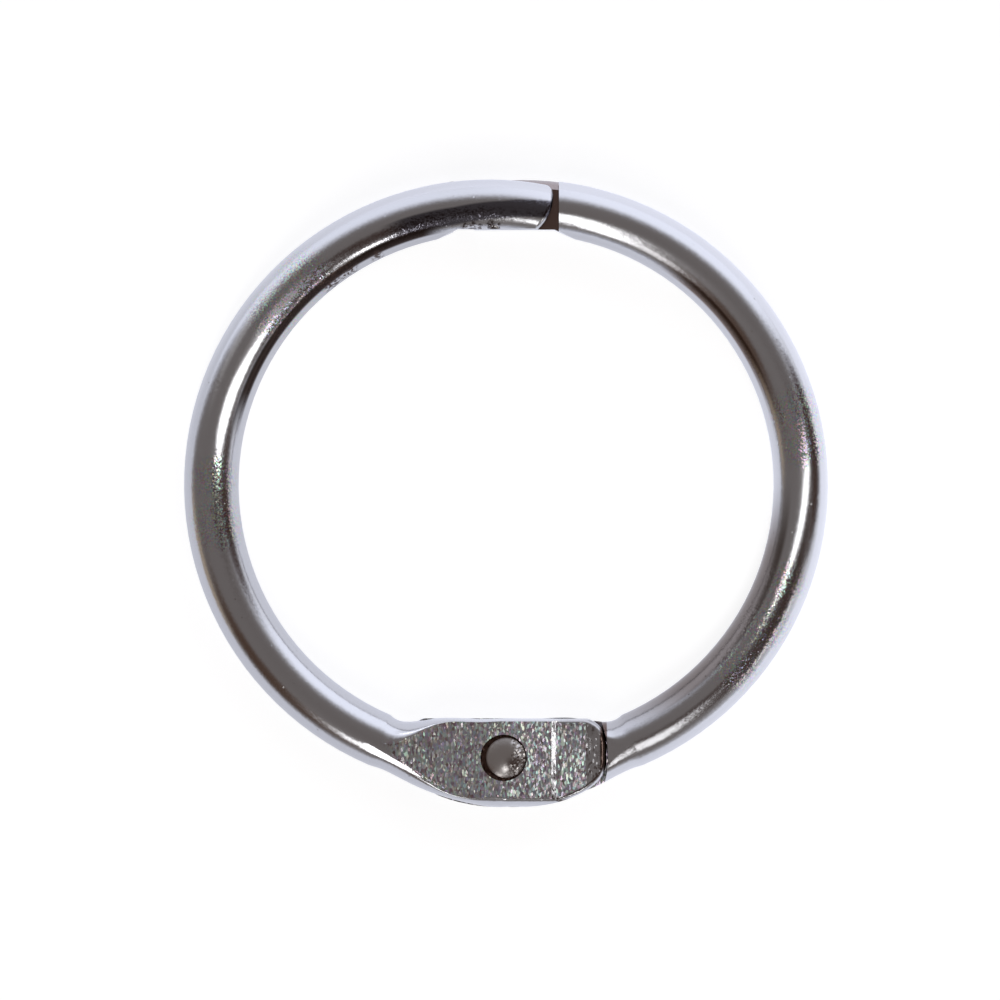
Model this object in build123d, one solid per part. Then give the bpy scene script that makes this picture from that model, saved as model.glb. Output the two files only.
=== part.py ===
from build123d import *
import os
from math import acos, asin, cos, degrees, sin, sqrt

# Hinged binder ring, closed. Two halves of bent round wire are the same pressing, one turned over to
# face the other. At the hinge each half is flattened to half the wire and a rivet holds the two laps.
# At the closure the two ends are cut to half laps, and a low pip on one snaps into a dimple in the other.
# The ring lies on z = 0, hinge towards -Y, closure towards +Y, the left half's laps on top.

# Ring, in millimetres
inner_width = 25.4
wire_diameter = 2.6
arc_offset = 0.8

# Hinge lug: half widths either side of the wire's middle line, and the neck that leads into it
lug_inner = 2.07
lug_outer = 2.13
lug_reach = 4.74
lug_gap = 0.06
face_drop = 0.06
inner_rim = 0.1
outer_rim = 0.5
neck_start = 6.0
neck_tip_width = 0.12

# Stations along the neck, each with its place from the start to the hinge's middle, and how much it has
# of the lug's inner and outer growth, of its inner and outer flat, and of the drop of its face
neck_shares = (
    (0.26, 0.33, 0.15, 0.49, 0.4, 0.6),
    (0.39, 0.7, 0.36, 0.79, 0.64, 0.85),
    (0.55, 0.92, 0.58, 0.95, 0.9, 1),
    (0.775, 0.99, 0.86, 0.99, 1, 1),
)

# Lug end: its two corners, the pressed land past the crease, the smooth end land and the rounded edge
end_inner_corner = 1.15
end_margin = 0.03
crease_width = 0.2
land_length = 1.42
land_drop = 0.06
end_land_length = 0.97
end_land_drop = 0.01
end_round = 0.24
shoulder_clearance = 0.08

# How much of the lug's reach its long outer corner takes up
end_outer_share = 0.99

# Rivet, its holes and the recesses that its heads sit in
rivet_inset = 0.25
shank_diameter = 1.5
hole_clearance = 0.03
head_diameter = 1.9
head_edge = 0.08
head_clearance = 0.03
head_below_wire = 0.01
recess_diameter = 2.2
recess_depth = 0.25
recess_shift = 0.12
mouth_diameter = 2.6
mouth_depth = 0.03

# Closure laps: tip, shoulder, the flat along the inside, and the catch
lap_gap = 0.07
tip_reach = 2.23
tip_clearance = 0.27
tip_inner_radius = 2.05
tip_round = 0.22
lap_thinning = 0.24
lap_step_reach = 2.3
lap_step_length = 0.5
lap_edge_width = 0.4
lap_edge_depth = 0.2
pip_radius = 0.5
pip_height = 0.12
pip_reach = 1.2
dimple_clearance = 0.03

# Where along the lap's width its foremost point is
tip_apex_share = 0.66

# Wear on the left lap's inner edge: two nicks, as reach, length and depth
nick_reaches = (-1.6, -0.58)
nick_lengths = (0.95, 0.6)
nick_depths = (0.24, 0.3)
nick_height_share = 0.55

overrun = 1.0

wire_radius = wire_diameter / 2
bend_radius = inner_width / 2 + wire_radius - arc_offset
middle_drop = sqrt(bend_radius**2 - arc_offset**2)

# The origin is under the middle of the ring's overall width and height
arc_lift = (middle_drop + lug_outer - bend_radius - wire_radius) / 2
bend_centre = Vector(-arc_offset, arc_lift, 0)
hinge_middle = arc_lift - middle_drop
closure_middle = arc_lift + middle_drop
rivet_place = Vector(0, hinge_middle + rivet_inset, 0)

lug_face = wire_radius - face_drop
lug_back = lug_gap / 2
lap_back = lap_gap / 2
shoulder_reach = tip_reach + tip_clearance
lap_inner_edge = closure_middle - wire_radius + lap_thinning
recess_floor = lug_face - recess_depth
flat_inner = lug_inner - inner_rim
flat_outer = lug_outer - outer_rim
shoulder_radius = lug_reach + shoulder_clearance
end_land_reach = lug_reach - end_land_length
crease_reach = end_land_reach - land_length - crease_width


def box_between(low, high):
    """A box from its lowest corner to its highest."""
    size = Vector(*high) - Vector(*low)
    return Pos(*low) * Box(size.X, size.Y, size.Z, align=(Align.MIN, Align.MIN, Align.MIN))


def neck_plane(reach):
    """The plane across the left half's wire at a distance to the left of the hinge's middle."""
    turn = asin((reach - arc_offset) / bend_radius)
    inward = Vector(sin(turn), cos(turn), 0)
    return Plane(bend_centre - inward * bend_radius, x_dir=inward, z_dir=(cos(turn), -sin(turn), 0))


def lug_section(plane, inner, outer, flat_in, flat_out, face):
    """A section of neck or lug: flat front and back, with half ellipses for sides."""
    outline = [
        Line((-flat_out, face), (flat_in, face)),
        EllipticalCenterArc((flat_in, 0), inner - flat_in, face, 90, arc_size=-180),
        Line((flat_in, -face), (-flat_out, -face)),
        EllipticalCenterArc((-flat_out, 0), outer - flat_out, face, 270, arc_size=-180),
    ]
    return plane * make_face(outline)


def wire_section():
    """The round wire where the neck starts, as four arcs that grow into a lug section's four sides."""
    tip = neck_tip_width / 2
    tip_face = sqrt(wire_radius**2 - tip**2)
    outline = [
        ThreePointArc((-tip, tip_face), (0, wire_radius), (tip, tip_face)),
        ThreePointArc((tip, tip_face), (wire_radius, 0), (tip, -tip_face)),
        ThreePointArc((tip, -tip_face), (0, -wire_radius), (-tip, -tip_face)),
        ThreePointArc((-tip, -tip_face), (-wire_radius, 0), (-tip, tip_face)),
    ]
    return neck_plane(neck_start) * make_face(outline)


def lug_middle_section():
    """The lug's full section, across the hinge's middle."""
    plane = Plane((0, hinge_middle, 0), x_dir=(0, 1, 0), z_dir=(1, 0, 0))
    return lug_section(plane, lug_inner, lug_outer, flat_inner, flat_outer, lug_face)


def wire():
    """The round wire, bent to one arc from past the closure's tip to the start of the hinge's neck."""
    axis = Axis(bend_centre, (0, 0, 1))
    start = degrees(acos((shoulder_reach + arc_offset) / bend_radius))
    end = 270 - degrees(asin((neck_start - arc_offset) / bend_radius))
    plane = Plane(bend_centre, x_dir=(1, 0, 0), z_dir=(0, -1, 0))
    section = plane * Pos(bend_radius, 0) * Circle(wire_radius)
    return revolve(section, axis=axis, revolution_arc=end - start).rotate(axis, start)


def neck():
    """The wire spreading into the lug: its round section becomes a flat-faced one with rounded sides."""
    sections = [wire_section()]
    for place, inner, outer, inner_flat, outer_flat, drop in neck_shares:
        sections.append(
            lug_section(
                neck_plane(neck_start * (1 - place)),
                wire_radius + (lug_inner - wire_radius) * inner,
                wire_radius + (lug_outer - wire_radius) * outer,
                flat_inner * inner_flat,
                flat_outer * outer_flat,
                wire_radius - face_drop * drop,
            )
        )
    return loft(sections + [lug_middle_section()])


def lug_end():
    """The lug past the hinge's middle: pressed land, smooth end and rounded edge, above the lap's plane."""
    top = hinge_middle + lug_inner + end_margin
    bottom = hinge_middle - lug_outer - end_margin
    inner_turn = Vector(lug_reach - end_inner_corner, top - end_inner_corner)
    outer_length = lug_reach * end_outer_share
    outer_start = lug_reach - outer_length
    outer_depth = hinge_middle - bottom
    outline = make_face(
        [
            Line((0, bottom), (outer_start, bottom)),
            EllipticalCenterArc((outer_start, hinge_middle), outer_length, outer_depth, 270, arc_size=90),
            Line((lug_reach, hinge_middle), (lug_reach, inner_turn.Y)),
            CenterArc(inner_turn, end_inner_corner, 0, 90),
            Line((inner_turn.X, top), (0, top)),
            Line((0, top), (0, bottom)),
        ]
    )
    land = lug_face - land_drop
    side = make_face(
        Polyline(
            (0, lug_back),
            (0, lug_face),
            (crease_reach, lug_face),
            (crease_reach + crease_width, land),
            (end_land_reach, land),
            (lug_reach, land - end_land_drop),
            (lug_reach, lug_back),
            close=True,
        )
    )
    profile = extrude(Plane((0, top, 0), x_dir=(1, 0, 0), z_dir=(0, -1, 0)) * side, amount=top - bottom)
    end = extrude(outline, amount=lug_face) & profile
    rim = end.edges().filter_by(lambda edge: edge.center().X > end_land_reach and edge.center().Z > lug_face / 2)
    bar = extrude(lug_middle_section(), amount=lug_reach, dir=(1, 0, 0))
    return fillet(rim, end_round) & bar


def tip_waste():
    """What is cut off past the left lap's rounded tip, seen from above, with the step along its inside."""
    outer = closure_middle + wire_radius
    apex = lap_inner_edge + (outer - lap_inner_edge) * tip_apex_share
    outer_radius = outer - apex
    slope = asin((apex - lap_inner_edge) / tip_inner_radius)
    inner_end = tip_reach - tip_inner_radius * (1 - cos(slope))
    below = closure_middle - wire_diameter
    far = shoulder_reach + overrun
    outline = [
        CenterArc((tip_reach - outer_radius, apex), outer_radius, 0, 90),
        CenterArc((tip_reach - tip_inner_radius, apex), tip_inner_radius, 0, -degrees(slope)),
        Polyline(
            (inner_end, lap_inner_edge),
            (-lap_step_reach, lap_inner_edge),
            (-lap_step_reach - lap_step_length * (lap_inner_edge - below) / lap_thinning, below),
            (far, below),
            (far, outer + overrun),
            (tip_reach - outer_radius, outer + overrun),
            (tip_reach - outer_radius, outer),
        ),
    ]
    return Pos(0, 0, -wire_diameter) * extrude(make_face(outline), amount=wire_diameter * 2)


def lap_edge_waste():
    """The outer corner of the lap's face, from its shoulder to its tip, which is bevelled off."""
    axis = Axis(bend_centre, (0, 0, 1))
    edge = bend_radius + wire_radius
    slope = lap_edge_depth / lap_edge_width
    corner = Polyline(
        (edge - lap_edge_width, lap_back),
        (edge + overrun, lap_back + slope * (lap_edge_width + overrun)),
        (edge + overrun, lap_back),
        close=True,
    )
    start = degrees(acos((shoulder_reach + arc_offset) / bend_radius))
    end = degrees(acos((arc_offset - shoulder_reach) / bend_radius))
    plane = Plane(bend_centre, x_dir=(1, 0, 0), z_dir=(0, -1, 0))
    return revolve(plane * make_face(corner), axis=axis, revolution_arc=end - start).rotate(axis, start)


def half_ring():
    """One half ring, lying as the left half does, about the ring's middle plane."""
    shoulder = Pos(rivet_place.X, rivet_place.Y, lug_back) * Cylinder(
        shoulder_radius, wire_diameter, align=(Align.CENTER, Align.CENTER, Align.MAX)
    )
    lap = box_between(
        (-shoulder_reach, closure_middle - wire_diameter, -wire_diameter),
        (shoulder_reach + overrun, closure_middle + wire_diameter, lap_back),
    )
    hole = Pos(rivet_place) * Cylinder(shank_diameter / 2 + hole_clearance, wire_diameter * 2)
    recess = Pos(rivet_place.X - recess_shift, rivet_place.Y, recess_floor) * Cylinder(
        recess_diameter / 2, wire_diameter, align=(Align.CENTER, Align.CENTER, Align.MIN)
    )
    mouth = Pos(rivet_place.X - recess_shift, rivet_place.Y, lug_face - mouth_depth) * Cone(
        recess_diameter / 2, mouth_diameter / 2, mouth_depth, align=(Align.CENTER, Align.CENTER, Align.MIN)
    )
    half = wire() + neck() - shoulder + lug_end() - hole - recess - mouth - lap - tip_waste()
    tip = half.edges().filter_by(
        lambda edge: edge.center().Y > 0
        and edge.center().X > tip_reach - tip_inner_radius
        and edge.geom_type == GeomType.BSPLINE
    )
    return fillet(tip, tip_round) - lap_edge_waste()


def rivet():
    """The rivet: a shank through both lugs, with a low domed head at each end."""
    shank_radius = shank_diameter / 2
    head_radius = head_diameter / 2
    under = recess_floor + head_clearance
    rim = under + head_edge
    top = wire_radius - head_below_wire
    dome = top - rim
    dome_radius = (head_radius**2 + dome**2) / (2 * dome)
    half_angle = degrees(asin(head_radius / dome_radius))
    outline = [
        Polyline((0, 0), (shank_radius, 0), (shank_radius, under), (head_radius, under), (head_radius, rim)),
        CenterArc((0, top - dome_radius), dome_radius, 90 - half_angle, half_angle),
        Line((0, top), (0, 0)),
    ]
    plane = Plane(rivet_place, x_dir=(1, 0, 0), z_dir=(0, -1, 0))
    upper = revolve(plane * make_face(outline), axis=Axis(rivet_place, (0, 0, 1)))
    return upper + mirror(upper, about=Plane.XY)


def catch_ball(radius):
    """The ball that shapes the catch: its lowest part is the left lap's pip."""
    return Pos(-pip_reach, closure_middle, lap_back - pip_height + pip_radius) * Sphere(radius)


def left_half_ring():
    """The half whose laps lie on top: it carries the catch's pip, and its lap's inner edge is nicked."""
    half = half_ring() + catch_ball(pip_radius)
    for reach, length, depth in zip(nick_reaches, nick_lengths, nick_depths):
        radius = (length**2 / 4 + depth**2) / (2 * depth)
        height = lap_back + wire_radius * nick_height_share
        half -= Pos(reach, lap_inner_edge + depth - radius, height) * Sphere(radius)
    return half


def right_half_ring():
    """The same pressing, turned over about the ring's upright middle line, with the catch's dimple."""
    return half_ring().rotate(Axis.Y, 180) - catch_ball(pip_radius + dimple_clearance)


pieces = {
    "left_half_ring": left_half_ring(),
    "right_half_ring": right_half_ring(),
    "hinge_rivet": rivet(),
}
os.makedirs("parts", exist_ok=True)
for name, piece in pieces.items():
    export_step(Pos(0, 0, wire_radius) * piece, f"parts/{name}.step")
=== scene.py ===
# %% [markdown]
# # A hinged binder ring
# The ring is two halves of bent, nickel-plated steel wire. Below, each half is flattened to a lug and a
# rivet joins the two. Above, each half ends in a half lap, and the two laps snap together. The shapes come
# packed from the CAD model, so this lesson is about light and finish: a mirror has no look of its own, and
# most of the work is in what it reflects.

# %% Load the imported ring
from math import cos, pi, radians, sin

import bmesh
import bpy
from mathutils import Matrix, Vector


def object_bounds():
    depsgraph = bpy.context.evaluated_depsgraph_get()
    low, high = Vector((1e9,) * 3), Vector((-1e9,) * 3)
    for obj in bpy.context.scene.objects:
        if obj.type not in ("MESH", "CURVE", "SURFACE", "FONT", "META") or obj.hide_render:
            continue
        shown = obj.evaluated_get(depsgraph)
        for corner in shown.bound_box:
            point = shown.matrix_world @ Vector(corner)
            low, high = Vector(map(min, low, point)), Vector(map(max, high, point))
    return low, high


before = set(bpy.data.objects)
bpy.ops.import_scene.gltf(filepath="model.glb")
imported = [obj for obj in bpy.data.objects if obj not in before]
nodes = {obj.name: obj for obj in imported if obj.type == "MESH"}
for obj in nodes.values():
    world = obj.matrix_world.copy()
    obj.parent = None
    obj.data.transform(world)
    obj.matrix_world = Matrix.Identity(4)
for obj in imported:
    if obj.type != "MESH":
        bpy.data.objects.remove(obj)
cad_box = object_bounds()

MM = 0.001
size = cad_box[1] - cad_box[0]
print("ring", [round(side / MM, 2) for side in size], "mm")
for name, piece in nodes.items():
    print(name, len(piece.data.polygons), "faces")

# %% [markdown]
# ## Camera
# The photograph looks straight down on the ring's plane, with the closure at the top. A long lens from a
# quarter of a metre keeps the near and far sides of the wire almost equally visible. The frame is a square,
# and its width at the height of the wire's middle sets the distance.

# %% Camera straight above the ring
wire_middle = 1.3 * MM
frame_width = 47.5 * MM
frame_centre = Vector((-0.29 * MM, -0.33 * MM, wire_middle))

lens = bpy.data.cameras.new("camera")
lens.lens = 200
lens.clip_start = 0.01
camera = bpy.data.objects.new("camera", lens)
camera.location = frame_centre + Vector((0, 0, frame_width * lens.lens / lens.sensor_width))
bpy.context.scene.collection.objects.link(camera)
bpy.context.scene.camera = camera
print("camera", round(camera.location.z / MM), "mm above the floor")

# %% [markdown]
# ## Colours and nodes
# Colours are written as sRGB hex values, as a paint chart gives them, and shaders want linear light, so one
# function converts them. A second one adds a shader node: it sets the node's own settings, and for each
# input it either makes a link or writes a value.

# %% Two helpers


def linear(hex_colour):
    """An sRGB hex colour as linear red, green and blue, with full alpha."""
    shares = [int(hex_colour[i : i + 2], 16) / 255 for i in (0, 2, 4)]
    return [s / 12.92 if s <= 0.04045 else ((s + 0.055) / 1.055) ** 2.4 for s in shares] + [1]


def add_node(tree, kind, inputs=None, **settings):
    """A new node with its settings, and its inputs linked where a socket is given, or set."""
    made = tree.nodes.new(kind)
    for name, value in settings.items():
        setattr(made, name, value)
    for socket, value in (inputs or {}).items():
        if isinstance(value, bpy.types.NodeSocket):
            tree.links.new(value, made.inputs[socket])
        else:
            made.inputs[socket].default_value = value
    return made


print("white is", linear("FFFFFF"))

# %% [markdown]
# ## The studio around the ring
# Polished wire seen from above is a map of the room: its crown mirrors what is overhead, and its sides, from
# 45 degrees of slope on, mirror the table. The rims are pale because the table is white, and the broad band
# between them is dim because the ceiling is. A picture of a room could stand all round the ring, but zones
# written as numbers can be moved one at a time until the bands on the wire sit right. So the world is a white
# tent that is brightest low beyond the closure. Its dim ceiling reaches lower on the hinge's side and on the
# left, and it has three dark brown corners and a warm strip low on the left. Each zone is a round spot on the
# sky: a direction, the angles where it is full and where it has faded out, a colour and a strength. A later
# zone lies over an earlier one.

# %% World: a white tent with a dim ceiling


def towards(azimuth, tilt):
    """The direction at an azimuth from +X, tilted from straight up, both in degrees."""
    a, t = radians(azimuth), radians(tilt)
    return Vector((sin(t) * cos(a), sin(t) * sin(a), cos(t)))


tent_white = "F1F3FB"
sky_zones = (
    # azimuth, tilt, full within, gone beyond, colour, strength
    (62, 74, 20, 38, "EEF2FF", 1.5),
    (130, 68, 24, 54, "EEF2FF", 1.3),
    (255, 25, 50, 82, "7A7472", 1),
    (190, 55, 22, 48, "7A7472", 1),
    (6, 62, 12, 24, "3E271C", 1),
    (320, 32, 17, 28, "36221A", 1),
    (222, 60, 12, 26, "523E32", 1),
    (195, 85, 8, 18, "B4A490", 1),
)

world = bpy.data.worlds.new("studio_tent")
world.use_nodes = True
bpy.context.scene.world = world
tree = world.node_tree
tree.nodes.clear()
direction = add_node(tree, "ShaderNodeTexCoord").outputs["Generated"]
sky = linear(tent_white)
for azimuth, tilt, full, gone, colour, strength in sky_zones:
    along = add_node(
        tree, "ShaderNodeVectorMath", {0: direction, 1: towards(azimuth, tilt)}, operation="DOT_PRODUCT"
    )
    spot = add_node(
        tree,
        "ShaderNodeMapRange",
        {"Value": along.outputs["Value"], "From Min": cos(radians(gone)), "From Max": cos(radians(full))},
        interpolation_type="SMOOTHSTEP",
    )
    zone = [share * strength for share in linear(colour)]
    sky = add_node(
        tree, "ShaderNodeMix", {0: spot.outputs["Result"], 6: sky, 7: zone}, data_type="RGBA"
    ).outputs[2]
path = add_node(tree, "ShaderNodeLightPath")
seen = add_node(
    tree, "ShaderNodeMix", {0: path.outputs["Is Camera Ray"], 6: sky, 7: linear("FFFFFF")}, data_type="RGBA"
)
background = add_node(tree, "ShaderNodeBackground", {"Color": seen.outputs[2]})
add_node(tree, "ShaderNodeOutputWorld", {"Surface": background.outputs["Background"]})
print("world", len(sky_zones), "zones on a white tent")

# %% [markdown]
# ## Floor
# A plain table under matt white paper. It is lit by the lamps, so it keeps the ring's soft shadow, and a glow
# that only camera, glossy and transmission rays see lifts it to white. In the metal the glow is a little
# cool, as daylight on paper is, which makes the wire's rims pale blue against its warm crown. In the metal the
# glow also holds a painted shadow: it is dimmer where the wire would shade the table, outside on the lower
# left, and inside on the upper left.

# %% Table
table_side = 2.0
floor_mesh = bpy.data.meshes.new("floor")
form = bmesh.new()
bmesh.ops.create_grid(form, x_segments=1, y_segments=1, size=table_side / 2)
form.to_mesh(floor_mesh)
form.free()
floor = bpy.data.objects.new("floor", floor_mesh)
bpy.context.scene.collection.objects.link(floor)
print("floor", table_side, "m square")

# %% Matt white paper on it
glow_level = 0.8
inside_reach, outside_reach = 12 * MM, 14 * MM
# painted shadow: the glow that the metal mirrors is made dimmer where the wire would shade the table
painted_shadow_in_glow = (
    # brighter towards this azimuth, then the glow on the dim and on the bright side
    (315, 0.56, 0.96),  # inside the ring
    (30, 0.67, 1.12),  # outside it
)

# Matt paper: the same white from every side, with no gloss, so only the ring's shadow marks it; in the metal a
# painted shadow dims its glow too
table_paper = bpy.data.materials.new("matt_white_table_paper")
table_paper.use_nodes = True
tree = table_paper.node_tree
tree.nodes.clear()
path = add_node(tree, "ShaderNodeLightPath")
mirrored = add_node(
    tree,
    "ShaderNodeMath",
    {0: path.outputs["Is Glossy Ray"], 1: path.outputs["Is Transmission Ray"]},
    operation="MAXIMUM",
).outputs["Value"]
spot = add_node(tree, "ShaderNodeTexCoord").outputs["Object"]
reach = add_node(tree, "ShaderNodeVectorMath", {0: spot}, operation="LENGTH").outputs["Value"]
outside = add_node(
    tree, "ShaderNodeMapRange", {"Value": reach, "From Min": inside_reach, "From Max": outside_reach}
).outputs["Result"]
glow = []
for way, low, high in painted_shadow_in_glow:
    lightward = add_node(
        tree, "ShaderNodeVectorMath", {0: spot, 1: towards(way, 90)}, operation="DOT_PRODUCT"
    ).outputs["Value"]
    ramp = add_node(
        tree,
        "ShaderNodeMapRange",
        {"Value": lightward, "From Min": -outside_reach, "From Max": outside_reach, "To Min": low, "To Max": high},
    )
    glow.append(ramp.outputs["Result"])
shade = add_node(tree, "ShaderNodeMix", {0: outside, 2: glow[0], 3: glow[1]}).outputs[0]
shade = add_node(tree, "ShaderNodeMath", {0: shade, 1: mirrored}, operation="MULTIPLY").outputs["Value"]
strength = add_node(
    tree,
    "ShaderNodeMath",
    {0: path.outputs["Is Camera Ray"], 1: glow_level, 2: shade},
    operation="MULTIPLY_ADD",
)
cool = add_node(
    tree,
    "ShaderNodeMix",
    {0: path.outputs["Is Camera Ray"], 6: linear("EDF1FF"), 7: linear("FFFFFF")},
    data_type="RGBA",
).outputs[2]
paper = add_node(tree, "ShaderNodeBsdfDiffuse", {"Color": linear("A8A8A8")})
shine = add_node(tree, "ShaderNodeEmission", {"Color": cool, "Strength": strength.outputs["Value"]})
both = add_node(tree, "ShaderNodeAddShader", {0: paper.outputs["BSDF"], 1: shine.outputs["Emission"]})
add_node(tree, "ShaderNodeOutputMaterial", {"Surface": both.outputs["Shader"]})
floor_mesh.materials.append(table_paper)
print("material", table_paper.name, len(tree.nodes), "nodes")

# %% [markdown]
# ## Softboxes
# The crisp white streaks along the wire are long, narrow softboxes. Each is given by its two ends, in
# millimetres from the ring's middle, its width and its radiance, which is the brightness that the mirror
# shows. A strip far off that points at the zenith is mirrored as a streak that thins out towards the wire's
# crown. A small strip close above the wire makes a streak on the crown itself. One that hangs level faces
# straight down, and any other faces the ring. Round lamps would leave spots, so the strips are ellipses. Each
# half gets streaks of its own: light linking is Blender's form of a photographer's flag, and keeps a lamp off
# everything but its receivers. Some hang within the picture, so all of them are hidden from the camera.

# %% Strip softboxes, flagged to one half each
ring_middle = Vector((0, 0, wire_middle))
far = 600
left_side = ("left_half_ring", "hinge_rivet")
right_side = ("right_half_ring",)
softboxes = (
    # name, one end, other end, width, radiance, what it lights
    ("hinge_on_left", towards(251, 43) * far, towards(251, 64) * far, 200, 2.2, left_side),
    ("closure_on_left", towards(296, 49) * far, towards(296, 58) * far, 95, 4.5, left_side),
    ("crown_on_left", Vector((-12.7, 2.3, 6.7)), Vector((-7.5, 5.1, 6.7)), 4.6, 2.0, left_side),
    ("shoulder_on_left", Vector((-11.5, 8.6, 10.7)), Vector((-4.5, 4.2, 10.7)), 3.2, 0.4, left_side),
    ("glow_on_left", towards(143, 36) * far, towards(143, 64) * far, 250, 0.15, left_side),
    ("lug_on_left", Vector((8.5, -12.6, 15)), Vector((12, -12.6, 11)), 2.8, 2.6, left_side),
    ("glint_on_rivet", towards(266, 23) * far, towards(266, 35) * far, 100, 2.4, ("hinge_rivet",)),
    ("hinge_on_right", towards(270, 20) * far, towards(251, 71) * far, 115, 2.4, right_side),
    ("shoulder_on_right", towards(240, 45) * far, towards(240, 70) * far, 80, 1.0, right_side),
    ("flank_on_right", towards(298, 23) * far, towards(298, 54) * far, 65, 2.0, right_side),
    ("crown_on_right", Vector((11.6, -5.2, 10.7)), Vector((21.4, 3.3, 10.7)), 3.4, 1.8, right_side),
    ("rim_on_right", towards(319, 64) * far, towards(341, 64.5) * far, 110, 0.8, right_side),
)
for name, start, end, width, radiance, lit in softboxes:
    lamp = bpy.data.lights.new(name, "AREA")
    lamp.shape = "ELLIPSE"
    lamp.size = width * MM
    lamp.size_y = (start - end).length * MM
    lamp.energy = pi * radiance * lamp.size * lamp.size_y
    middle = (start + end) / 2
    length_axis = (start - end).normalized()
    back = Vector((0, 0, 1)) if start.z == end.z else middle
    away = (back - length_axis * back.dot(length_axis)).normalized()
    holder = bpy.data.objects.new(name, lamp)
    holder.location = ring_middle + middle * MM
    holder.rotation_mode = "QUATERNION"
    holder.rotation_quaternion = Matrix((length_axis.cross(away), length_axis, away)).transposed().to_quaternion()
    holder.visible_camera = False
    receivers = bpy.data.collections.new(name + "_receivers")
    for piece in lit:
        receivers.objects.link(nodes[piece])
    receivers.objects.link(floor)
    holder.light_linking.receiver_collection = receivers
    bpy.context.scene.collection.objects.link(holder)
    print(name, round(lamp.size, 3), "x", round(lamp.size_y, 3), "m", round(lamp.energy, 4), "W")

# %% [markdown]
# ## Polished nickel plate
# The wire is drawn steel, bent, pressed, polished and plated with bright nickel: a pale, slightly warm mirror.
# Several things break it up. Where the dies pressed the lugs flat, the face is a field of fine crystals, each
# of which tilts its own way and so mirrors another part of the room. A crease crosses that field and flashes
# white, past it the end of the lug is smoother, and a narrow facet runs along the neck. Inside the bend the
# forming tool has left dull lines, and on the left lap a dark pressed mark. Where the polish is worn, the
# streaks break into sparkle. The faces of the laps are stained brown, and darkened further with painted shade
# of the narrow gap between them. In the recess round the rivet and along the lug's rounded end, the brown is
# painted shade. Image maps could show all of that, but they would need painting for each half. It is one
# plating, so it is one material here: masks worked out from the place on the ring, in millimetres, say which
# finish shows where.

# %% Where on the ring: position and slope
# A mirror finish: to the eye it is bands of the room, crisp along the wire and broken where it is worn
nickel = bpy.data.materials.new("polished_nickel_plate")
nickel.use_nodes = True
tree = nickel.node_tree
tree.nodes.clear()
coordinates = add_node(tree, "ShaderNodeTexCoord")
place = add_node(
    tree, "ShaderNodeVectorMath", {0: coordinates.outputs["Object"], "Scale": 1 / MM}, operation="SCALE"
).outputs["Vector"]
across = add_node(tree, "ShaderNodeSeparateXYZ", {0: place})
x_place, y_place = across.outputs["X"], across.outputs["Y"]
slope = add_node(tree, "ShaderNodeSeparateXYZ", {0: coordinates.outputs["Normal"]})
flatness = add_node(tree, "ShaderNodeMath", {0: slope.outputs["Z"]}, operation="ABSOLUTE").outputs["Value"]
height = add_node(
    tree, "ShaderNodeMath", {0: across.outputs["Z"], 1: wire_middle / MM}, operation="SUBTRACT"
).outputs["Value"]
front = add_node(tree, "ShaderNodeMath", {0: height}, operation="SIGN").outputs["Value"]
lug_x = add_node(tree, "ShaderNodeMath", {0: x_place, 1: front}, operation="MULTIPLY").outputs["Value"]
depth = add_node(tree, "ShaderNodeMath", {0: height}, operation="ABSOLUTE").outputs["Value"]
plan = add_node(tree, "ShaderNodeVectorMath", {0: place, 1: (1, 1, 0)}, operation="MULTIPLY").outputs["Vector"]
rivet_spot = (0, -12.523, 0)
rivet_reach = add_node(
    tree, "ShaderNodeVectorMath", {0: plan, 1: rivet_spot}, operation="DISTANCE"
).outputs["Value"]
x_reach = add_node(tree, "ShaderNodeMath", {0: x_place}, operation="ABSOLUTE").outputs["Value"]

# How far out from the middle of its bend: the wire's own middle line is at 13.2
folded = add_node(tree, "ShaderNodeCombineXYZ", {"X": x_reach, "Y": y_place}).outputs["Vector"]
bend_middle = (0.8, 0.407, 0)
bend_reach = add_node(
    tree, "ShaderNodeVectorMath", {0: folded, 1: bend_middle}, operation="DISTANCE"
).outputs["Value"]

# Towards the left lap's tip the pressed mark drifts outwards
drift = add_node(tree, "ShaderNodeMapRange", {"Value": x_place, "From Min": -2.5, "From Max": 0.3, "To Max": 0.26})
press_reach = add_node(
    tree, "ShaderNodeMath", {0: bend_reach, 1: drift.outputs["Result"]}, operation="SUBTRACT"
).outputs["Value"]

# The two edges of the facet that the die has pressed along the neck: slanted lines, seen from above
facet_inner = add_node(
    tree, "ShaderNodeVectorMath", {0: plan, 1: (0.577, 1, 0)}, operation="DOT_PRODUCT"
).outputs["Value"]
facet_outer = add_node(
    tree, "ShaderNodeVectorMath", {0: plan, 1: (0.482, 1, 0)}, operation="DOT_PRODUCT"
).outputs["Value"]
print("place, slope and reach worked out with", len(tree.nodes), "nodes")

# %% [markdown]
# ### Masks
# Each ramp reads one of those values and goes from 0 to 1 between two limits. A mask is a product of ramps,
# so it is 1 only where all of them are. Painting the masks by hand would be quicker for one picture, but
# limits in millimetres stay right when the ring opens and from every side.

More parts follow.
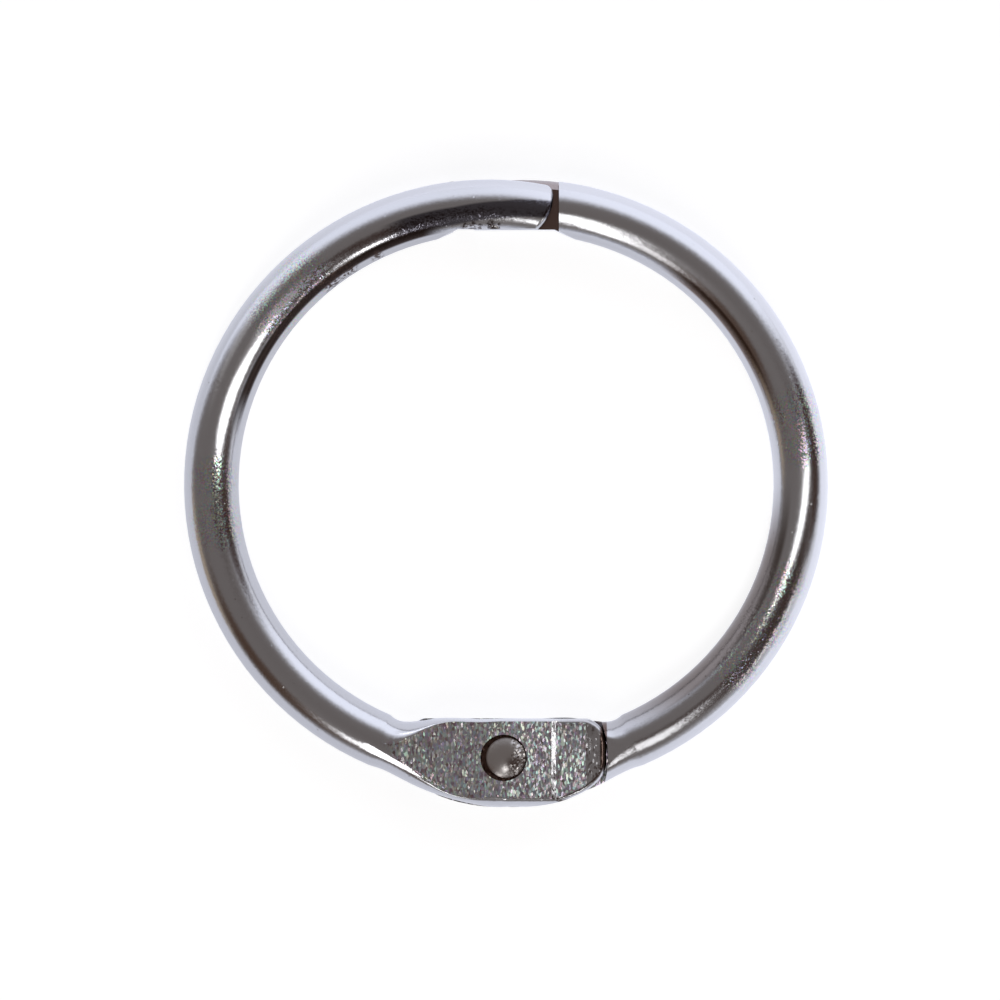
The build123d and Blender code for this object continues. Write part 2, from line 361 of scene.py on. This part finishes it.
# %% Ramps
ramps = {
    # what it reads, where it is 0 and where it is 1
    "flat": (flatness, 0.97, 0.99),
    "level": (flatness, 0.78, 0.96),
    "crease_start": (lug_x, 2.1, 2.14),
    "crease_end": (lug_x, 2.42, 2.38),
    "hinge": (y_place, -10.2, -10.6),
    "lug_start": (lug_x, -6.0, -4.8),
    "before_end": (lug_x, 3.8, 3.74),
    "past_end": (lug_x, 3.74, 3.8),
    "at_end": (lug_x, 4.4, 4.48),
    "end_before": (lug_x, 4.8, 4.74),
    "end_above": (y_place, -13.3, -12.9),
    "near_rivet": (rivet_reach, 1.36, 1.28),
    "sunk": (depth, 1.19, 1.12),
    "closure": (y_place, 11.0, 11.6),
    "lap": (x_reach, 2.75, 2.6),
    "mid_plane": (depth, 0.4, 0.12),
    "line_in": (bend_reach, 12.08, 12.18),
    "line_out": (bend_reach, 12.54, 12.43),
    "inside": (bend_reach, 12.76, 12.55),
    "right": (x_place, 2.0, 3.0),
    "right_above": (y_place, 2.0, 7.0),
    "right_below": (y_place, 11.2, 9.5),
    "darker_above": (y_place, -12.2, -9.0),
    "darker_below": (y_place, 1.0, -3.0),
    "left": (x_place, -2.5, -4.0),
    "left_above": (y_place, 2.0, 5.0),
    "press_in": (press_reach, 12.3, 12.46),
    "press_out": (press_reach, 13.28, 13.14),
    "press_start": (x_place, -6.2, -4.6),
    "press_end": (x_place, 2.4, 2.3),
    "in_front": (height, 0.1, 0.3),
    "facet_in": (facet_inner, -15.58, -15.66),
    "facet_out": (facet_outer, -15.42, -15.34),
    "facet_start": (x_place, -7.0, -6.2),
    "facet_end": (x_place, -2.6, -3.0),
}
share = {}
for name, (source, low, high) in ramps.items():
    ramp = add_node(
        tree,
        "ShaderNodeMapRange",
        {"Value": source, "From Min": low, "From Max": high},
        interpolation_type="SMOOTHSTEP",
    )
    share[name] = ramp.outputs["Result"]
print(len(share), "ramps")

# %% Masks
products = {
    "coined": ("flat", "hinge", "lug_start", "before_end"),
    "end_land": ("flat", "hinge", "past_end", "end_before"),
    "crease": ("crease_start", "crease_end", "hinge", "level"),
    "facet": ("facet_in", "facet_out", "facet_start", "facet_end", "in_front"),
    # painted shade along the lug's rounded end
    "end_edge_shade": ("at_end", "end_before", "hinge", "end_above", "in_front"),
    # painted shade in the recess round the rivet
    "recess_shade": ("near_rivet", "sunk", "hinge"),
    # brown stain of the lap faces, with painted shade of the gap between them
    "lap_face_stain_and_shade": ("closure", "lap", "mid_plane", "level"),
    "tool_line_right": ("line_in", "line_out", "right", "right_above", "right_below"),
    "tool_line_left": ("line_in", "line_out", "left", "left_above"),
    # darker low inside the right half's bend
    "darker_inside": ("inside", "right", "darker_above", "darker_below"),
    "pressed": ("press_in", "press_out", "press_start", "press_end", "in_front", "closure"),
}
mask = {}
for name, parts in products.items():
    made = share[parts[0]]
    for part in parts[1:]:
        made = add_node(tree, "ShaderNodeMath", {0: made, 1: share[part]}, operation="MULTIPLY").outputs["Value"]
    mask[name] = made
print("masks", sorted(mask))

# %% [markdown]
# ### Spots
# Sparkle and dirt lie in patches, where fingers and paper have worn the plate and where grime has settled on
# the inside. A patch is a place on the ring and a radius, and the nearest patch counts. A cloudy noise
# breaks the dirt up, and it stays on the front, as dust does on a ring that lies flat.

# %% Patches of sparkle and of dirt
patches = {
    # x, y, radius
    "sparkle": (
        (-9.6, 10.2, 1.8), (-10.8, 8.5, 1.8), (-13.8, 0.7, 1.5), (-13.6, -1.4, 1.8),
        (13.8, 3.8, 1.7), (14.1, 2.2, 1.5), (13.2, -4.2, 1.4), (12.2, -6.2, 1.8), (10.9, -8.2, 1.6),
    ),
    "dirt": (
        (-1.95, 12.62, 0.26), (-1.6, 12.7, 0.24), (-1.2, 12.62, 0.2), (-0.75, 12.76, 0.3), (-0.45, 12.68, 0.26),
        (-8.3, 10.0, 0.7), (-7.5, 10.5, 0.7), (-6.1, 11.2, 0.4),
    ),
}
for name, spots in patches.items():
    nearest = 0.0
    for x, y, radius in spots:
        away = add_node(tree, "ShaderNodeVectorMath", {0: plan, 1: (x, y, 0)}, operation="DISTANCE").outputs["Value"]
        spot = add_node(
            tree,
            "ShaderNodeMapRange",
            {"Value": away, "From Min": radius, "From Max": radius / 3},
            interpolation_type="SMOOTHSTEP",
        )
        nearest = add_node(
            tree, "ShaderNodeMath", {0: nearest, 1: spot.outputs["Result"]}, operation="MAXIMUM"
        ).outputs["Value"]
    mask[name] = nearest
dirt_width = 0.16
cloud = add_node(tree, "ShaderNodeTexNoise", {"Vector": place, "Scale": 1 / dirt_width, "Detail": 3.0})
broken = add_node(
    tree,
    "ShaderNodeMapRange",
    {"Value": cloud.outputs["Fac"], "From Min": 0.38, "From Max": 0.62},
    interpolation_type="SMOOTHSTEP",
)
for limit in (broken.outputs["Result"], share["in_front"]):
    mask["dirt"] = add_node(
        tree, "ShaderNodeMath", {0: mask["dirt"], 1: limit}, operation="MULTIPLY"
    ).outputs["Value"]
print("patches", {name: len(spots) for name, spots in patches.items()})

# %% [markdown]
# ### Crystals, flecks and orange peel
# A Voronoi texture gives each crystal a random colour, and that colour, read as a direction, tilts the
# crystal's normal. A bump map would do it too, but its slopes would round each crystal off, and here they are
# flat and sharp-edged. On the lug the tilt is strong, and stronger past the rivet. On the wire a softer, finer
# noise stands for the polish, which is never quite even, and a few pits flash as flecks. The facet along the
# neck is narrower than the wire's own rounding, so it is a normal as well, mixed in between its two edges.

# %% Grain: the patterns
# Sizes in millimetres. Real crystals and pits are about 0.02 across, less than half a pixel of the picture:
# these are drawn coarser, so that they show.
crystal_width, crystal_length = 0.075, 0.15
sparkle_width = 0.05
fleck_spacing, fleck_radius = 0.4, 0.03
peel_width = 0.12
crystals = add_node(
    tree,
    "ShaderNodeVectorMath",
    {0: place, 1: (1 / crystal_width, 1 / crystal_length, 1 / crystal_width)},
    operation="MULTIPLY",
)
cells = add_node(tree, "ShaderNodeTexVoronoi", {"Vector": crystals.outputs["Vector"], "Scale": 1.0}).outputs["Color"]
pits = add_node(tree, "ShaderNodeTexVoronoi", {"Vector": place, "Scale": 1 / fleck_spacing})
peel = add_node(tree, "ShaderNodeTexNoise", {"Vector": place, "Scale": 1 / peel_width, "Detail": 1.0})
points = add_node(tree, "ShaderNodeTexVoronoi", {"Vector": place, "Scale": 1 / sparkle_width}).outputs["Color"]
print("crystals", crystal_width, "by", crystal_length, "mm")

# %% Grain: how far each pattern tilts the normal
lug_tilt_low, lug_tilt_high = 0.6, 0.9
end_tilt, crease_tilt = 0.3, 0.1
polish_tilt, press_tilt, sparkle_tilt = 0.03, 0.15, 0.14
lug_tilt = add_node(
    tree,
    "ShaderNodeMapRange",
    {"Value": lug_x, "From Min": -1, "From Max": 1.5, "To Min": lug_tilt_low, "To Max": lug_tilt_high},
).outputs["Result"]
tilts = []
for tilt, amounts in (
    (0.0, (("coined", lug_tilt), ("end_land", end_tilt), ("crease", crease_tilt))),
    (polish_tilt, (("pressed", press_tilt), ("sparkle", sparkle_tilt))),
):
    for name, amount in amounts:
        tilt = add_node(
            tree, "ShaderNodeMath", {0: mask[name], 1: amount, 2: tilt}, operation="MULTIPLY_ADD"
        ).outputs["Value"]
    tilts.append(tilt)
print("lug tilt", lug_tilt_low, "to", lug_tilt_high, "polish tilt", polish_tilt)

# %% Grain: the tilted normal
fleck_tilt, peel_tilt = 0.45, 0.05
facet_leans = towards(251, 25.5)
fleck = add_node(
    tree,
    "ShaderNodeMapRange",
    {
        "Value": pits.outputs["Distance"],
        "From Min": fleck_radius / fleck_spacing * 1.3,
        "From Max": fleck_radius / fleck_spacing,
        "To Max": fleck_tilt,
    },
).outputs["Result"]
facet_normal = add_node(
    tree,
    "ShaderNodeVectorTransform",
    {"Vector": facet_leans},
    vector_type="NORMAL",
    convert_from="OBJECT",
    convert_to="WORLD",
).outputs["Vector"]
smooth = add_node(tree, "ShaderNodeNewGeometry").outputs["Normal"]
tilted = add_node(
    tree, "ShaderNodeMix", {0: mask["facet"], 4: smooth, 5: facet_normal}, data_type="VECTOR"
).outputs[1]
for pattern, amount in (
    (cells, tilts[0]),
    (points, tilts[1]),
    (pits.outputs["Color"], fleck),
    (peel.outputs["Color"], peel_tilt),
):
    centred = add_node(tree, "ShaderNodeVectorMath", {0: pattern, 1: (0.5, 0.5, 0.5)}, operation="SUBTRACT")
    scaled = add_node(
        tree, "ShaderNodeVectorMath", {0: centred.outputs["Vector"], "Scale": amount}, operation="SCALE"
    )
    tilted = add_node(
        tree, "ShaderNodeVectorMath", {0: tilted, 1: scaled.outputs["Vector"]}, operation="ADD"
    ).outputs["Vector"]
grain = add_node(tree, "ShaderNodeVectorMath", {0: tilted}, operation="NORMALIZE").outputs["Vector"]
print("normal tilted by", len(tilts) + 2, "patterns")

# %% [markdown]
# ### Colour
# Bright nickel reflects about two thirds of the light, almost evenly. Each worn or stained finish then mixes
# in its own tone over the last one. The crystals and the sparkle get a trace of their random colour, as thin
# plating shows rainbow tints on fine facets. Roughness starts from the 0.2 of a machine polish and rises to
# 0.3 where the dies have pressed.

# %% Colour, roughness and the shader
tints = (("coined", cells, 0.25), ("sparkle", points, 0.3))
colour = add_node(
    tree, "ShaderNodeMix", {0: mask["coined"], 6: linear("CCCCCF"), 7: linear("DCDCE0")}, data_type="RGBA"
).outputs[2]
for name, pattern, amount in tints:
    tint = add_node(tree, "ShaderNodeMath", {0: mask[name], 1: amount}, operation="MULTIPLY").outputs["Value"]
    colour = add_node(tree, "ShaderNodeMix", {0: tint, 6: colour, 7: pattern}, data_type="RGBA").outputs[2]
tones = (
    ("pressed", "6E6C74"),
    # darker low inside the right half's bend; the code only darkens the colour there
    ("darker_inside", "7E7672"),
    ("tool_line_left", "3A302C"),
    ("tool_line_right", "786A62"),
    # painted shade: the lug's rounded end darkened brown
    ("end_edge_shade", "6A5A54"),
    # brown stain of the cut lap faces, darkened further as painted shade of the gap
    ("lap_face_stain_and_shade", "88736C"),
    # painted shade: the recess round the rivet darkened brown
    ("recess_shade", "5A463E"),
    ("dirt", "4A3C36"),
)
for name, tone in tones:
    colour = add_node(
        tree, "ShaderNodeMix", {0: mask[name], 6: colour, 7: linear(tone)}, data_type="RGBA"
    ).outputs[2]
polished, coined = 0.2, 0.3
rough = add_node(
    tree, "ShaderNodeMapRange", {"Value": mask["coined"], "To Min": polished, "To Max": coined}
).outputs["Result"]
shader = add_node(
    tree,
    "ShaderNodeBsdfPrincipled",
    {"Base Color": colour, "Metallic": 1.0, "Roughness": rough, "Normal": grain},
)
add_node(tree, "ShaderNodeOutputMaterial", {"Surface": shader.outputs["BSDF"]})
for name in ("left_half_ring", "right_half_ring"):
    nodes[name].data.materials.clear()
    nodes[name].data.materials.append(nickel)
print("material", nickel.name, len(tree.nodes), "nodes")

# %% [markdown]
# ## The rivet
# The rivet is plain steel, plated with the rest, and its head was closed with a hammer or a spinning tool. So
# the dome is a smooth, slightly darker mirror that flashes where it leans towards a softbox. One side of it
# has been struck: fine dents there break the flash into sparks. Round its rim the head darkens to brown, as
# painted shade of the groove it sits in.
# Real dents could be cut into the mesh, but they are only hundredths of a millimetre deep. They are the same
# trick as the crystals, a tilt for each Voronoi cell, with a ramp that keeps them to one side.

# %% Struck, plated steel for the rivet
dent_width, dent_tilt = 0.1, 0.5
struck_from, struck_to = 0.15, 0.6
# the rim of the head darkens to brown: painted shade of the groove round it
rim_shade_from, rim_shade_to = 0.86, 0.98

# To the eye a small dark pearl, with one soft glint and a rough, sparkling cheek
rivet_steel = bpy.data.materials.new("struck_plated_rivet_steel")
rivet_steel.use_nodes = True
tree = rivet_steel.node_tree
tree.nodes.clear()
place = add_node(
    tree,
    "ShaderNodeVectorMath",
    {0: add_node(tree, "ShaderNodeTexCoord").outputs["Object"], "Scale": 1 / MM},
    operation="SCALE",
).outputs["Vector"]
plan = add_node(tree, "ShaderNodeVectorMath", {0: place, 1: (1, 1, 0)}, operation="MULTIPLY").outputs["Vector"]
reach = add_node(tree, "ShaderNodeVectorMath", {0: plan, 1: rivet_spot}, operation="DISTANCE").outputs["Value"]
shaded_rim = add_node(
    tree, "ShaderNodeMapRange", {"Value": reach, "From Min": rim_shade_from, "From Max": rim_shade_to}
).outputs["Result"]
colour = add_node(
    tree, "ShaderNodeMix", {0: shaded_rim, 6: linear("C8C4C2"), 7: linear("5A463E")}, data_type="RGBA"
).outputs[2]
dents = add_node(tree, "ShaderNodeTexVoronoi", {"Vector": place, "Scale": 1 / dent_width}).outputs["Color"]
x_place = add_node(tree, "ShaderNodeSeparateXYZ", {0: place}).outputs["X"]
struck = add_node(
    tree,
    "ShaderNodeMapRange",
    {"Value": x_place, "From Min": struck_from, "From Max": struck_to, "To Min": polish_tilt, "To Max": dent_tilt},
).outputs["Result"]
centred = add_node(tree, "ShaderNodeVectorMath", {0: dents, 1: (0.5, 0.5, 0.5)}, operation="SUBTRACT")
scaled = add_node(tree, "ShaderNodeVectorMath", {0: centred.outputs["Vector"], "Scale": struck}, operation="SCALE")
smooth = add_node(tree, "ShaderNodeNewGeometry").outputs["Normal"]
tilted = add_node(tree, "ShaderNodeVectorMath", {0: smooth, 1: scaled.outputs["Vector"]}, operation="ADD")
grain = add_node(
    tree, "ShaderNodeVectorMath", {0: tilted.outputs["Vector"]}, operation="NORMALIZE"
).outputs["Vector"]
shader = add_node(
    tree,
    "ShaderNodeBsdfPrincipled",
    {"Base Color": colour, "Metallic": 1.0, "Roughness": 0.22, "Normal": grain},
)
add_node(tree, "ShaderNodeOutputMaterial", {"Surface": shader.outputs["BSDF"]})
nodes["hinge_rivet"].data.materials.clear()
nodes["hinge_rivet"].data.materials.append(rivet_steel)
print("material", rivet_steel.name, "dents", dent_width, "mm")

# %% [markdown]
# ## Finish
# The Standard view transform shows colours as they are written. A filmic one would grey the white table.

# %% View transform
bpy.context.scene.view_settings.view_transform = "Standard"
